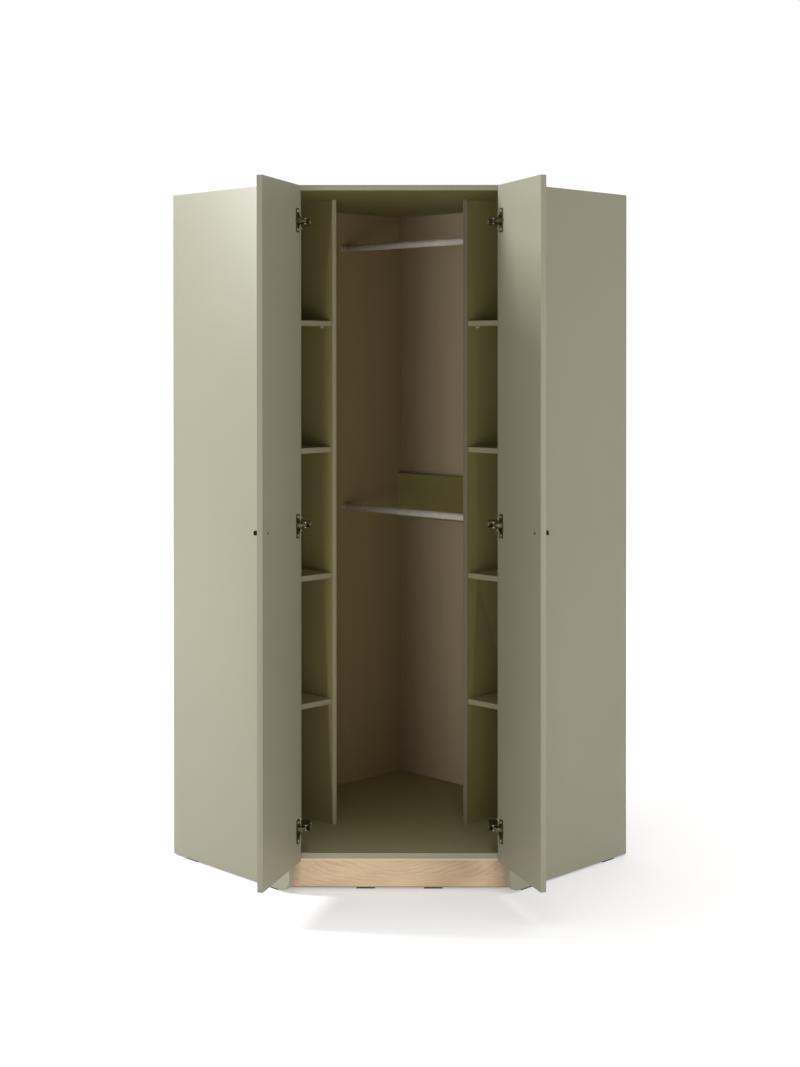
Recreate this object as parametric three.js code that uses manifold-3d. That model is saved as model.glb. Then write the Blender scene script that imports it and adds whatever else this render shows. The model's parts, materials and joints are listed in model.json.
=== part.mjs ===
// Corner wardrobe with two doors, side shelves and two hanging rails.
// Millimetres, +Z up, front towards -Y, the room corner towards +Y.
import * as THREE from 'three';
import { mergeVertices } from 'three/addons/utils/BufferGeometryUtils.js';
import Module from 'manifold-3d';

const wasm = await Module();
wasm.setup();

// Driving dimensions of the carcass
const height = 2040;              // floor to the top of the side panels
const wallLength = 990;           // room corner to the outer face of a side panel
const sideDepth = 543;            // wall to the front edge of a side panel
const board = 16;                 // thickness of every board
const topDrop = 4;                // the top panel lies this far below the side panels' tops
const plinthHeight = 93;          // from the glider pads to the bottom panel
const padHeight = 4;              // glider pads
const doorThickness = 16;
const doorToCarcass = 4;          // from a closed door's back to the carcass front
const seat = 0.3;                 // gap left where two pieces meet
const overrun = 1;                // how far a cutter runs past what it cuts
const weldShare = 0.001;          // corners this much of a seat apart are one corner
const wallTurn = 45;              // degrees between the front and each wall
const cupSides = 24;              // faces round a hinge cup and its bore
const barSides = 20;              // faces round rails, sockets and knobs
const smallSides = 12;            // faces round pins, screws and rounded corners
const curveSteps = 3;             // steps along each curve of the knob

// Inside the carcass
const shelfCount = 4;             // shelves in each side compartment
const compartmentWidth = 284;     // side panel to partition
const partitionSetback = 143;     // partition front behind the side panel's inner front edge
const shelfSetback = 5;           // shelf front behind the partition front
const backInset = 60;             // back panel behind face to the wall
const backThickness = 3;
const grooveDepth = 5;            // the back panels' edges stand in grooves this deep
const postInset = 2;              // hinge post beside the front corner of the side panel
const postDepth = 80;
const plinthSetback = 32;         // plinth face behind the carcass front
const sideCornerRadius = 40;      // rounded lower front corner of a side panel
const stretcherHeight = 150;      // board across the back at mid height
const cornerPostLeg = 56;         // each leg of the angled post behind the back panels
const battenWidth = 80;           // upright batten behind the rail ends

// Shelf pins
const pinRadius = 2.5;
const pinLength = 8;
const pinFromShelfEdge = 40;
const looseShelves = [0, 2];      // counted from the top, these lie on pins

// Hanging rails
const railRadius = 11;
const railFromBack = 262;         // rail centre line to the right back panel
const upperRailDrop = 118;        // upper rail's centre line below the top panel
const lowerRailHeight = 1041;
const socketFlangeRadius = 15.5;
const socketFlange = 2.5;
const socketWall = 2;
const socketLength = 12;

// Doors and knobs
const doorSideGap = 2;
const doorCentreGap = 3;
const doorTopReveal = 2;          // top panel seen above a closed door
const doorOverhang = 4;           // doors reach this far below the bottom panel's underside
const leftDoorAngle = 106.5;      // how far each door stands open, in degrees
const rightDoorAngle = 109.5;
const knobHeight = 1062;
const knobFromEdge = 39;
const knobRadius = 6.8;
const knobLength = 23;
const knobNeckRadius = 4.4;
const knobRim = 1.6;
const knobWaistShare = 0.5;       // heights along the knob, as shares of its length
const knobSwellShare = 0.7;
const knobHeadShare = 0.78;
const knobFootShare = 0.2;
const knobSeatRadius = 6;
const screwRadius = 1.9;
const screwBite = 12;             // screw length inside the knob
const screwHeadRadius = 3.6;
const screwHeadHeight = 1.4;

// Concealed hinges
const hingeFromDoorEnd = [92, 102];   // lowest and highest hinge, from the door's bottom and top
const pivotFromEdge = 8;          // pin centre to the door's hinge edge
const pivotFromFace = 6;          // pin centre to the door's outer face
const cupRadius = 17.5;
const cupDepth = 12.5;
const cupTab = 3;                 // door left between the cup bore and the hinge edge
const cupWall = 1;
const flangeThickness = 1.5;
const flangeHeight = 69;
const flangeWidth = 24;
const flangeCorner = 5;
const flangeShift = 5;            // flange ears beyond the cup centre
const flangeDisc = 19.5;
const mouthRadius = 15.4;
const notchHalf = 6.5;
const earScrewFromEnd = 8;
const earScrewRadius = 3.4;
const earScrewHeight = 1;
const hingePinRadius = 1.1;
const barrelRadius = 2.2;
const neckHalf = 5;               // half height of the neck that enters the cup
const neckLow = 1.7;
const neckHigh = 0.3;
const neckReach = 14;             // pin centre to the rising part of the neck
const neckThickness = 2;
const lugGap = 0.4;
const lugThickness = 2;
const lugHeight = 3.2;
const plateThickness = 3;
const plateHeight = 50;
const plateWing = 14;
const armSetback = 0.5;           // arm front behind the carcass front
const armLength = 58;
const armStandoff = 26;           // arm above its plate
const armHalf = 9;
const armNose = 7;
const plateScrewRadius = 3.6;
const plateScrewHeight = 1.2;

// Glider pads, placed along the board that they stand under
const padWidth = 12;
const padLength = 54;
const frontPadAlong = 54;
const rearPadAlong = 430;
const plinthPadOffset = 98;       // pad centre to the middle of the plinth

// Colours
const green = 0x8f8b76;
const darkGreen = 0x6c684f;
const hardboard = 0x6f604c;
const oak = 0xcbb08e;
const metal = 0xb3aea4;
const nickel = 0x8d877c;
const black = 0x1d1a16;

// Sizes worked out from the values above
const diagonal = Math.SQRT1_2;
const sideOuter = (wallLength - sideDepth) * diagonal;          // outer front corner, from the middle
const cornerFromFront = (wallLength + sideDepth) * diagonal;    // room corner, from the front
const wallFromCentre = cornerFromFront * diagonal;              // room walls in the room's own axes
const sideFace = sideOuter * diagonal;                          // a side panel's outer face, room axes
const sideInner = sideFace - board;
const sideInnerFront = sideOuter - board * diagonal;            // inner front corner, from the middle
const carcassFront = doorThickness + doorToCarcass;
const carcassTop = height - topDrop;
const ceiling = carcassTop - board;
const floorUnderside = padHeight + plinthHeight;
const floorTop = floorUnderside + board;
const backFace = wallFromCentre - backInset - backThickness;    // inner face of the back panels
const backRear = backFace + backThickness;
const partitionOuter = compartmentWidth - sideInner;            // face towards the side compartment
const partitionInner = partitionOuter + board;
const partitionFront = sideFace + partitionSetback;
const shelfFront = partitionFront + shelfSetback;
const shelfPitch = (ceiling - floorTop + board) / (shelfCount + 1);
const doorWidth = sideInnerFront - doorSideGap - doorCentreGap / 2;
const doorTop = carcassTop - doorTopReveal;
const doorBottom = floorUnderside - doorOverhang;
const bottomHinge = doorBottom + hingeFromDoorEnd[0];
const topHinge = doorTop - hingeFromDoorEnd[1];
const hingeHeights = [bottomHinge, (bottomHinge + topHinge) / 2, topHinge];
const upperRailHeight = ceiling - upperRailDrop;
const pivotX = sideInnerFront - doorSideGap - pivotFromEdge;    // from the middle
const pivotY = pivotFromFace;
const innerFaceY = doorThickness - pivotFromFace;               // from the pin, in a door's own axes
const cupX = cupTab + cupRadius - pivotFromEdge;
const postOuter = sideInnerFront - postInset;
const postInner = postOuter - board;
const postFaceX = pivotX - postInner;                           // post face, from the pin
const railAcross = backFace - railFromBack;

// The origin is under the middle of the object's box, with its doors as they stand
const reach = doorWidth - pivotFromEdge;
const frontReach = (degrees) => {
  const angle = THREE.MathUtils.degToRad(degrees);
  const inner = reach * Math.sin(angle) - innerFaceY * Math.cos(angle);
  const outer = reach * Math.sin(angle) + pivotFromFace * Math.cos(angle);
  return Math.max(inner, outer) - pivotY;
};
const frontmost = Math.max(frontReach(leftDoorAngle), frontReach(rightDoorAngle));
const originY = (cornerFromFront - frontmost) / 2;

// Turn geometry into a solid that can be cut, and back
function solidOf(geometry) {
  const bare = geometry.clone();
  bare.deleteAttribute('normal');
  bare.deleteAttribute('uv');
  const merged = mergeVertices(bare, seat * weldShare);
  const corners = merged.index.array;
  const kept = [];
  for (let i = 0; i < corners.length; i += 3) {
    const [a, b, c] = corners.slice(i, i + 3);
    if (a !== b && b !== c && c !== a) kept.push(a, b, c);
  }
  return new wasm.Manifold(new wasm.Mesh({
    numProp: 3,
    vertProperties: new Float32Array(merged.attributes.position.array),
    triVerts: new Uint32Array(kept),
  }));
}

function geometryOf(solid) {
  const mesh = solid.getMesh();
  const geometry = new THREE.BufferGeometry();
  geometry.setAttribute('position', new THREE.BufferAttribute(mesh.vertProperties, 3));
  geometry.setIndex(new THREE.BufferAttribute(mesh.triVerts, 1));
  const faceted = geometry.toNonIndexed();
  faceted.computeVertexNormals();
  return faceted;
}

const join = (first, ...rest) => rest.reduce((all, next) => all.add(next), first);
const cut = (first, ...rest) => rest.reduce((all, next) => all.subtract(next), first);

// A plan outline raised from one height to another
function prism(outline, low, high) {
  const shape = new THREE.Shape(outline.map(([x, y]) => new THREE.Vector2(x, y)));
  const geometry = new THREE.ExtrudeGeometry(shape, { depth: high - low, bevelEnabled: false });
  geometry.translate(0, 0, low);
  return solidOf(geometry);
}

const block = ([x0, x1], [y0, y1], [z0, z1]) => prism([[x0, y0], [x1, y0], [x1, y1], [x0, y1]], z0, z1);

// A round bar along Z, X or Y
function bar(radius, length, sides, axis = 'z') {
  const geometry = new THREE.CylinderGeometry(radius, radius, length, sides);
  if (axis === 'z') geometry.rotateX(Math.PI / 2);
  if (axis === 'x') geometry.rotateZ(Math.PI / 2);
  return solidOf(geometry);
}

// Points in the room's axes: across is the distance from the middle line towards the hanging
// space, along is the distance back towards the wall. Each side mirrors the other.
function roomPoint(side, across, along) {
  return [side.sign * (along - across) * diagonal, (across + along) * diagonal];
}

function roomBlock(side, [across0, across1], [along0, along1], [z0, z1]) {
  const outline = [[across0, along0], [across1, along0], [across1, along1], [across0, along1]];
  return prism(outline.map(([across, along]) => roomPoint(side, across, along)), z0, z1);
}

// A round bar that lies along the room's across axis of one side
function roomBar(side, radius, [across0, across1], along, z, sides) {
  const solid = bar(radius, across1 - across0, sides, 'x');
  const [x, y] = roomPoint(side, (across0 + across1) / 2, along);
  return solid.rotate([0, 0, -side.sign * wallTurn]).translate([x, y, z]);
}

const left = { name: 'left', sign: -1, angle: leftDoorAngle };
const right = { name: 'right', sign: 1, angle: rightDoorAngle };
const sides = [left, right];

// Heights of the undersides of the shelves, from the top one down
const shelfHeights = Array.from({ length: shelfCount }, (_, i) => ceiling - (i + 1) * shelfPitch);

const material = (color, roughness, metalness = 0) =>
  new THREE.MeshStandardMaterial({ color, roughness, metalness });
const lacquer = material(green, 0.55);
const shade = material(darkGreen, 0.6);
const fibreboard = material(hardboard, 0.8);
const wood = material(oak, 0.6);
const steel = material(metal, 0.35, 0.9);
const hingeMetal = material(nickel, 0.35, 0.9);
const dark = material(black, 0.6);

const wardrobe = new THREE.Group();
wardrobe.position.set(0, -originY, 0);

function place(parent, name, solid, finish) {
  const mesh = new THREE.Mesh(geometryOf(solid), finish);
  mesh.name = name;
  parent.add(mesh);
}

// Top and bottom panels, five-sided, with grooves for the back panels
function capPanel(low, grooveLow, grooveHigh) {
  const edge = sideInner - seat;
  const frontAlong = carcassFront / diagonal + edge;
  const outline = [
    roomPoint(left, -edge, frontAlong),
    roomPoint(left, -edge, wallFromCentre),
    roomPoint(left, wallFromCentre, wallFromCentre),
    roomPoint(right, -edge, wallFromCentre),
    roomPoint(right, -edge, frontAlong),
  ];
  const grooves = sides.map((side) => roomBlock(
    side,
    [-edge - overrun, backRear + seat],
    [backFace - seat, backRear + seat],
    [grooveLow, grooveHigh],
  ));
  return cut(prism(outline, low, low + board), ...grooves);
}
const topPanel = capPanel(ceiling, ceiling - overrun, ceiling + grooveDepth);
const bottomPanel = capPanel(floorUnderside, floorTop - grooveDepth, floorTop + overrun);
place(wardrobe, 'top_panel', topPanel, lacquer);
place(wardrobe, 'bottom_panel', bottomPanel, shade);

// Shelf pins that stand out of a board, for the shelves that lie loose
function shelfPins(side, [across0, across1]) {
  const alongs = [shelfFront + pinFromShelfEdge, backFace - pinFromShelfEdge];
  return looseShelves.flatMap((row) => alongs.map((along) => roomBar(
    side, pinRadius, [across0, across1], along, shelfHeights[row] - seat - pinRadius, smallSides)));
}

// Side panels, with a rounded lower front corner and a groove for the back panel
function sidePanel(side) {
  const outline = new THREE.Shape();
  outline.moveTo(sideFace + sideCornerRadius, padHeight);
  outline.lineTo(wallFromCentre, padHeight);
  outline.lineTo(wallFromCentre, height);
  outline.lineTo(sideFace, height);
  outline.lineTo(sideFace, padHeight + sideCornerRadius);
  outline.absarc(sideFace + sideCornerRadius, padHeight + sideCornerRadius, sideCornerRadius,
    Math.PI, 1.5 * Math.PI, false);
  const geometry = new THREE.ExtrudeGeometry(outline, {
    depth: board, bevelEnabled: false, curveSegments: smallSides,
  });
  geometry.rotateX(Math.PI / 2);                  // along is X, the height is Z, the board is -Y
  geometry.translate(0, -sideInner, 0);
  geometry.rotateZ(THREE.MathUtils.degToRad(wallTurn));
  let panel = solidOf(geometry);
  if (side === left) panel = panel.mirror([1, 0, 0]);
  const groove = roomBlock(
    side,
    [-sideInner - grooveDepth, -sideInner + overrun],
    [backFace - seat, backRear + seat],
    [floorTop - grooveDepth, ceiling + grooveDepth],
  );
  return join(cut(panel, groove), ...shelfPins(side, [-sideInner - board / 2, -sideInner + pinLength]));
}

// Partitions between the side compartments and the hanging space
function partition(side) {
  const panel = roomBlock(side, [partitionOuter, partitionInner], [partitionFront, backFace - seat],
    [floorTop, ceiling]);
  return join(panel, ...shelfPins(side, [partitionOuter - pinLength, partitionOuter + board / 2]));
}

for (const side of sides) {
  place(wardrobe, `${side.name}_side_panel`, sidePanel(side), lacquer);
  place(wardrobe, `${side.name}_partition`, partition(side), shade);
  shelfHeights.forEach((low, row) => {
    const shelf = roomBlock(side, [-sideInner + seat, partitionOuter - seat],
      [shelfFront, backFace - seat], [low, low + board]);
    place(wardrobe, `${side.name}_shelf_${row + 1}`, shelf, shade);
  });
  const post = block(
    [side.sign * postInner, side.sign * postOuter].sort((a, b) => a - b),
    [carcassFront, carcassFront + postDepth],
    [floorTop, ceiling],
  );
  place(wardrobe, `${side.name}_hinge_post`, post, lacquer);
}

// Back panels: the left one runs into the corner, the right one stops against it
const backLow = floorTop - grooveDepth + seat;
const backHigh = ceiling + grooveDepth - seat;
const backEdge = -sideInner - grooveDepth + seat;
const backSpan = [backFace, backRear];
const leftBack = roomBlock(left, [backEdge, backRear], backSpan, [backLow, backHigh]);
const rightBack = roomBlock(right, [backEdge, backFace - seat], backSpan, [backLow, backHigh]);
place(wardrobe, 'left_back_panel', leftBack, fibreboard);
place(wardrobe, 'right_back_panel', rightBack, fibreboard);

// Angled post behind the corner, batten behind the rail ends, board across the right back panel
const behind = backRear + seat;
const postLeg = (side) => roomBlock(side, [behind + board - cornerPostLeg, behind + board],
  [behind, behind + board], [floorTop, ceiling]);
place(wardrobe, 'back_corner_post', join(postLeg(left), postLeg(right)), shade);
const batten = roomBlock(left, [railAcross - battenWidth / 2, railAcross + battenWidth / 2],
  [behind, behind + board], [floorTop, ceiling]);
place(wardrobe, 'rail_batten', batten, shade);
const stretcherLow = (floorTop + ceiling - stretcherHeight) / 2;
const stretcher = roomBlock(right, [partitionInner + seat, backFace - seat],
  [backFace - seat - board, backFace - seat], [stretcherLow, stretcherLow + stretcherHeight]);
place(wardrobe, 'back_stretcher', stretcher, lacquer);

// Plinth board under the front, and bearers under the back of the bottom panel
const plinthFace = carcassFront + plinthSetback;
function plinthEnd(side, y) {
  return [side.sign * (sideInner / diagonal + y - seat / diagonal), y];
}
const plinth = prism([
  plinthEnd(left, plinthFace), plinthEnd(right, plinthFace),
  plinthEnd(right, plinthFace + board), plinthEnd(left, plinthFace + board),
], padHeight, floorUnderside);
place(wardrobe, 'oak_plinth', plinth, wood);
const bearerEnds = { left: backRear, right: backRear - board - seat };
for (const side of sides) {
  const bearer = roomBlock(side, [-sideInner + seat, bearerEnds[side.name]], [backRear - board, backRear],
    [padHeight, floorUnderside]);
  place(wardrobe, `${side.name}_rear_bearer`, bearer, shade);
}

// Hanging rails, from the left back panel to the right partition, with a socket at each end
function railAt(name, z) {
  const ends = [partitionInner + seat, backFace - seat];
  const along = railAcross;
  const socket = (from, inward) => {
    const flange = [from, from + inward * socketFlange].sort((a, b) => a - b);
    const collar = [from, from + inward * socketLength].sort((a, b) => a - b);
    const hollowEnd = from + inward * (socketLength + overrun);
    const hollow = [from + inward * socketFlange, hollowEnd].sort((a, b) => a - b);
    return cut(
      join(roomBar(right, socketFlangeRadius, flange, along, z, barSides),
        roomBar(right, railRadius + seat + socketWall, collar, along, z, barSides)),
      roomBar(right, railRadius + seat, hollow, along, z, barSides),
    );
  };
  const rail = roomBar(right, railRadius, [ends[0] + socketFlange + seat, ends[1] - socketFlange - seat],
    along, z, barSides);
  place(wardrobe, `${name}_hanging_rail`, rail, steel);
  place(wardrobe, `${name}_rail_socket_right`, socket(ends[0], 1), steel);
  place(wardrobe, `${name}_rail_socket_left`, socket(ends[1], -1), steel);
}
railAt('upper', upperRailHeight);
railAt('lower', lowerRailHeight);

// Glider pads under the side panels, the plinth and the rear bearers
const padSpan = (centre) => [centre - padWidth / 2, centre + padWidth / 2];
for (const side of sides) {
  const under = padSpan(-sideInner - board / 2);
  for (const [spot, along] of [['front', frontPadAlong], ['rear', rearPadAlong]]) {
    const pad = roomBlock(side, under, [sideFace + along, sideFace + along + padLength], [0, padHeight]);
    place(wardrobe, `${side.name}_${spot}_pad`, pad, dark);
  }
  const centre = side.sign * plinthPadOffset;
  const plinthPad = block([centre - padLength / 2, centre + padLength / 2],
    padSpan(plinthFace + board / 2), [0, padHeight]);
  place(wardrobe, `${side.name}_plinth_pad`, plinthPad, dark);
  const bearerPad = roomBlock(side, [railAcross, railAcross + padLength], padSpan(backRear - board / 2),
    [0, padHeight]);
  place(wardrobe, `${side.name}_bearer_pad`, bearerPad, dark);
}

// Hinge arms on the posts. Their axes start at the pin, X runs from the hinge edge towards
// the middle of the opening, and the neck reaches into the cup to carry the pin.
function hingeArm() {
  const plateX = [postFaceX + seat, postFaceX + seat + plateThickness];
  const armStart = carcassFront - pivotY + armSetback;
  const armY = [armStart, armStart + armLength];
  const top = plateX[1] + armStandoff;
  const spine = block(plateX, [armY[0] + armNose, armY[1]], [-armHalf, armHalf]);
  const wingY = armY[0] + armLength / 2;
  const wings = block(plateX, [wingY - plateWing / 2, wingY + plateWing / 2],
    [-plateHeight / 2, plateHeight / 2]);
  const body = prism([
    [plateX[1] - seat, armY[0]], [top - armNose, armY[0]], [top, armY[0] + armNose],
    [top, armY[1] - armNose], [top - armNose, armY[1]], [plateX[1] - seat, armY[1]],
  ], -armHalf, armHalf);
  const neck = prism([
    [0, -neckLow], [neckReach + neckThickness, -neckLow], [neckReach + neckThickness, armY[0] + seat],
    [neckReach, armY[0] + seat], [neckReach, neckHigh], [0, neckHigh],
  ], -neckHalf, neckHalf);
  const barrel = bar(barrelRadius, 2 * neckHalf, smallSides);
  const pin = bar(hingePinRadius, 2 * (neckHalf + lugGap + lugThickness), smallSides);
  const screws = [-1, 1].map((end) => bar(plateScrewRadius, plateScrewHeight + seat, smallSides, 'x')
    .translate([plateX[1] + plateScrewHeight / 2, wingY, end * (plateHeight / 2 - plateWing / 2)]));
  return join(spine, wings, body, neck, barrel, pin, ...screws);
}

// Hinge cups in the doors: ring wall, two lugs that hold the pin, and a flange with ears
function hingeCup() {
  const faceY = innerFaceY + seat;
  const flangeY = [faceY, faceY + flangeThickness];
  const disc = bar(flangeDisc, flangeThickness, cupSides, 'y')
    .translate([cupX, faceY + flangeThickness / 2, 0]);
  const earMiddle = cupX + flangeShift;
  const earSpan = (half) => [earMiddle - half, earMiddle + half];
  const earHalf = [flangeWidth / 2 - flangeCorner, flangeHeight / 2 - flangeCorner];
  const ears = join(
    block(earSpan(flangeWidth / 2), flangeY, [-earHalf[1], earHalf[1]]),
    block(earSpan(earHalf[0]), flangeY, [-flangeHeight / 2, flangeHeight / 2]),
  );
  const corners = [[-1, -1], [-1, 1], [1, -1], [1, 1]];
  const earTips = corners.map(([x, z]) => bar(flangeCorner, flangeThickness, smallSides, 'y')
    .translate([earMiddle + x * earHalf[0], faceY + flangeThickness / 2, z * earHalf[1]]));
  const floorY = innerFaceY - cupDepth + seat;
  const ringLength = flangeY[1] - floorY;
  const wall = bar(cupRadius - seat, ringLength, cupSides, 'y')
    .translate([cupX, floorY + ringLength / 2, 0]);
  const hollow = bar(cupRadius - seat - cupWall, ringLength + 2 * overrun, cupSides, 'y')
    .translate([cupX, floorY + ringLength / 2, 0]);
  const nearSide = block([-pivotFromEdge - flangeDisc, cupX / 2],
    [floorY - overrun, flangeY[1] + overrun], [-flangeDisc, flangeDisc]);
  const ring = cut(wall, hollow, nearSide);
  const mouth = bar(mouthRadius, flangeThickness + 2 * overrun, cupSides, 'y')
    .translate([cupX, faceY + flangeThickness / 2, 0]);
  const notch = block([-pivotFromEdge - flangeDisc, cupX], [faceY - overrun, flangeY[1] + overrun],
    [-notchHalf, notchHalf]);
  const flange = cut(join(disc, ears, ...earTips), mouth, notch);
  const lugNear = neckHalf + lugGap;
  const lugFar = lugNear + lugThickness;
  const wallMiddle = cupRadius - seat - cupWall / 2;
  const lugEnd = cupX + Math.sqrt(wallMiddle ** 2 - lugFar ** 2);
  const lugs = [[-lugFar, -lugNear], [lugNear, lugFar]].map((z) => block([-barrelRadius, lugEnd],
    [floorY, lugHeight], z));
  const pinHole = bar(hingePinRadius + seat, 2 * (lugFar + overrun), smallSides);
  const screwZ = flangeHeight / 2 - earScrewFromEnd;
  const screws = [-1, 1].map((end) => bar(earScrewRadius, earScrewHeight + seat, smallSides, 'y')
    .translate([earMiddle, flangeY[1] + earScrewHeight / 2, end * screwZ]));
  return join(ring, flange, cut(join(...lugs), pinHole), ...screws);
}

// Doors, in axes that start at the hinge pin, with the door closed along X
function doorPanel() {
  const panel = block([-pivotFromEdge, reach], [-pivotFromFace, innerFaceY], [doorBottom, doorTop]);
  const bores = hingeHeights.map((z) => bar(cupRadius, cupDepth + overrun, cupSides, 'y')
    .translate([cupX, innerFaceY - cupDepth / 2 + overrun / 2, z]));
  const screwHole = bar(screwRadius + seat, doorThickness + 2 * overrun, smallSides, 'y')
    .translate([reach - knobFromEdge, innerFaceY - doorThickness / 2, knobHeight]);
  return cut(panel, ...bores, screwHole);
}

// Knob, turned about its screw, with a narrow neck and a rounded rim
function knob() {
  const profile = new THREE.Path();
  profile.moveTo(0, 0);
  profile.lineTo(knobSeatRadius, 0);
  profile.quadraticCurveTo(knobNeckRadius, knobLength * knobFootShare,
    knobNeckRadius, knobLength * knobWaistShare);
  profile.quadraticCurveTo(knobNeckRadius, knobLength * knobSwellShare,
    knobRadius, knobLength * knobHeadShare);
  profile.lineTo(knobRadius, knobLength - knobRim);
  profile.absarc(knobRadius - knobRim, knobLength - knobRim, knobRim, 0, Math.PI / 2, false);
  profile.lineTo(0, knobLength);
  const onAxis = (point) => new THREE.Vector2(Math.max(point.x, 0), point.y);
  const points = profile.getPoints(curveSteps).map(onAxis);
  const turned = solidOf(new THREE.LatheGeometry(points, barSides));
  const hole = bar(screwRadius + seat, screwBite + seat + overrun, smallSides, 'y')
    .translate([0, (screwBite + seat - overrun) / 2, 0]);
  return cut(turned, hole).rotate([180, 0, 0])
    .translate([reach - knobFromEdge, -pivotFromFace - seat, knobHeight]);
}

// Screw that holds the knob, with its head on the door's inner face
function knobScrew() {
  const headY = innerFaceY + seat;
  const shankLength = headY + pivotFromFace + seat + screwBite;
  const shank = bar(screwRadius, shankLength, smallSides, 'y')
    .translate([0, headY - shankLength / 2, 0]);
  const head = bar(screwHeadRadius, screwHeadHeight, smallSides, 'y')
    .translate([0, headY + screwHeadHeight / 2, 0]);
  return join(shank, head).translate([reach - knobFromEdge, 0, knobHeight]);
}

// The right-hand copies are mirror images
const handed = (side, solid) => (side === left ? solid : solid.mirror([1, 0, 0]));
const hingeNames = ['bottom', 'middle', 'top'];
for (const side of sides) {
  const pivot = new THREE.Group();
  pivot.position.set(side.sign * pivotX, pivotY, 0);
  const door = new THREE.Group();
  door.rotation.z = side.sign * THREE.MathUtils.degToRad(side.angle);
  pivot.add(door);
  wardrobe.add(pivot);
  place(door, `${side.name}_door`, handed(side, doorPanel()), lacquer);
  place(door, `${side.name}_knob`, handed(side, knob()), dark);
  place(door, `${side.name}_knob_screw`, handed(side, knobScrew()), hingeMetal);
  hingeHeights.forEach((z, i) => {
    const name = `${side.name}_${hingeNames[i]}_hinge`;
    place(pivot, `${name}_arm`, handed(side, hingeArm().translate([0, 0, z])), hingeMetal);
    place(door, `${name}_cup`, handed(side, hingeCup().translate([0, 0, z])), hingeMetal);
  });
}

export default wardrobe;
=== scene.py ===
"""Corner wardrobe with two open doors: finishes, fittings and a plain studio.

Metres, +Z up, front towards -Y. Hinges, knobs and the doors' own pieces are made in hinge axes: they
start at the hinge pin, X runs from the door's hinge edge to its free edge, and Y runs from its outer
face to its inner face.
"""
import json
import math

import bmesh
import bpy
from mathutils import Matrix, Vector


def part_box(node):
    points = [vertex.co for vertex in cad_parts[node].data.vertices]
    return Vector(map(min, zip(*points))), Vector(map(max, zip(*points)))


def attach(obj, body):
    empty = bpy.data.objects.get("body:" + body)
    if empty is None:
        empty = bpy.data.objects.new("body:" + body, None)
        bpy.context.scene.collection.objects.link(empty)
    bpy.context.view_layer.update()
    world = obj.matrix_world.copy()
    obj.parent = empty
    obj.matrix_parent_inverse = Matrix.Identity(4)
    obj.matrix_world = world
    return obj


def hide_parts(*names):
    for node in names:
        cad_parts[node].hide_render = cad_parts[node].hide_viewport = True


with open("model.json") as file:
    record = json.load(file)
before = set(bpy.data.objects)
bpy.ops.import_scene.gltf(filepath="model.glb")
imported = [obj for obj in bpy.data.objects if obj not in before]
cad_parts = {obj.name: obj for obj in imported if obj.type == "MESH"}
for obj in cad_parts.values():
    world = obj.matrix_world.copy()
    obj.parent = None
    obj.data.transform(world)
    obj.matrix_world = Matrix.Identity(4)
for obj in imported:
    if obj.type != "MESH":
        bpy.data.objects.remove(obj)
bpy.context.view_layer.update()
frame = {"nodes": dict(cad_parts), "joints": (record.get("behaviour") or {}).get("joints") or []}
nodes = frame["nodes"]

SIDES = {"left": -1, "right": 1}
HINGES = ("bottom", "middle", "top")
SHELF_ROWS = range(1, 5)
LOOSE_ROWS = (1, 3)              # the shelves that lie on supports
RAIL_LEVELS = ("upper", "lower")
HALF_ROOT = math.sqrt(0.5)
QUARTER = math.pi / 2

# Photograph and camera
PHOTO_WIDTH = 800
PHOTO_HEIGHT = 1067
FOCAL_PIXELS = 1680.2            # distance from lens to image plane, in pixels of the photograph
AXIS_PIXEL_Y = 365.8             # where the lens axis meets the photograph
CAMERA_PLACE = (0.0202, -5.2116, 1.5489)
CAMERA_YAW = math.radians(0.216)
CAMERA_TILT = math.radians(0.387)
CAMERA_ROLL = math.radians(-0.021)
SENSOR_WIDTH = 36.0              # in millimetres

# Studio
WHITE = (1.0, 1.0, 1.0, 1.0)
FLOOR_SIZE = 60.0
FLOOR_COLOUR = (0.64, 0.64, 0.65)
FLOOR_TONES = (0.99, 1.0)
FLOOR_DRIFT = 0.4                # noise scale of the changes of tone
FLOOR_ROUGHNESS = 0.8
FLOOR_GLOW = 0.33                # the floor is lit from below a little, as a white studio table is
ROOM_COLOUR = (1.0, 0.985, 0.97)
ROOM_LIGHT = 0.39
OVERHEAD_LIGHT = 6.5             # straight up, on top of the room light
OVERHEAD_SPREAD = 16.0           # power of the cosine that it falls off with
# Each light: place, point it faces, width and height, power in watts, colour
LIGHTS = {
    "key_light": ((-5.4, 0.45, 4.4), (0.33, -0.5, 1.75), (1.2, 2.0), 470.0, (0.95, 0.97, 1.0)),
    "front_left": ((-3.1, -6.6, 1.1), (0.1, 0.2, 0.9), (1.4, 2.0), 72.0, (1.0, 0.995, 0.99)),
    "low_fill": ((0.25, -3.7, 0.45), (0.1, 0.2, 0.7), (1.0, 0.6), 12.0, (1.0, 0.985, 0.97)),
    "right_fill": ((4.6, -4.2, 1.0), (0.4, -0.2, 0.9), (2.5, 1.9), 80.0, (1.0, 0.985, 0.975)),
}

# Rounding of edges
BOARD_ROUND = 0.0009
BACK_ROUND = 0.0003
PAD_ROUND = 0.0003
METAL_ROUND = 0.00025
ARM_ROUND = 0.0005
SMOOTH_ANGLE = math.radians(35)
FLAT_ANGLE = math.radians(1)     # faces that meet at less are made one before rounding
WELD_SHARE = 0.02                # corners within this share of the rounding are made one
BOARD_SEGMENTS = 3
FITTING_SEGMENTS = 2

# Meshes
ROUND_SIDES = 64
KNOB_SIDES = 48
SCREW_SIDES = 32
ARC_STEPS = 12
MOUTH_STEPS = 40
TINY = 1e-7                      # lengths below this count as nothing
FACING_TINY = 1e-6

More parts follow.
